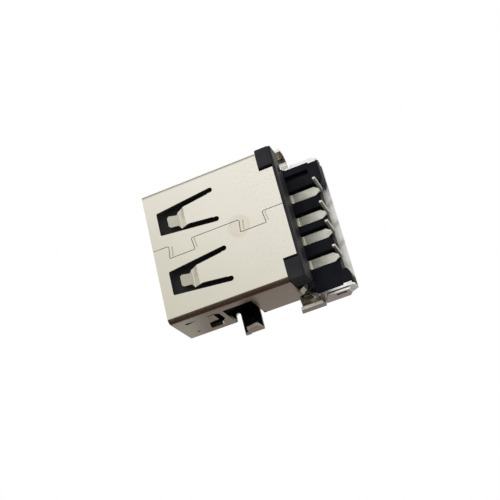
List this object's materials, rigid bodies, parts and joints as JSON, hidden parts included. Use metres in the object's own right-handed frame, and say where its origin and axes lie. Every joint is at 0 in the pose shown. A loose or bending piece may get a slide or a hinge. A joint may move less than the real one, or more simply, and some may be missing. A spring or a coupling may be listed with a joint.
{
  "type": "usb socket",
  "caption": "Board-mounted rectangular plug socket: folded metal shell with spring fingers and solder legs, a moulded tongue with contacts, and a covered tail spacer behind.",
  "frame": {"origin": "centre of the bounding box's underside; the socket lies on its rear cover", "axes": "+Z out of the face with the seam, the shortest extent; -Y out of the plug opening; +X across the socket"},
  "size_m": [0.0162, 0.016, 0.0075],
  "materials": {
    "shell_nickel": "satin nickel plate with a faint grain",
    "cover_nickel": "satin nickel plate",
    "contact_plate": "matte tin plate",
    "insulator_black": "satin moulded black",
    "spacer_black": "satin moulded black"
  },
  "bodies": {
    "root": {"shell": "shell_nickel", "rear_cover": "cover_nickel", "insulator": "insulator_black", "tail_spacer": "spacer_black", "contact_1": "contact_plate", "contact_2": "contact_plate", "contact_3": "contact_plate", "contact_4": "contact_plate"}
  },
  "joints": []
}
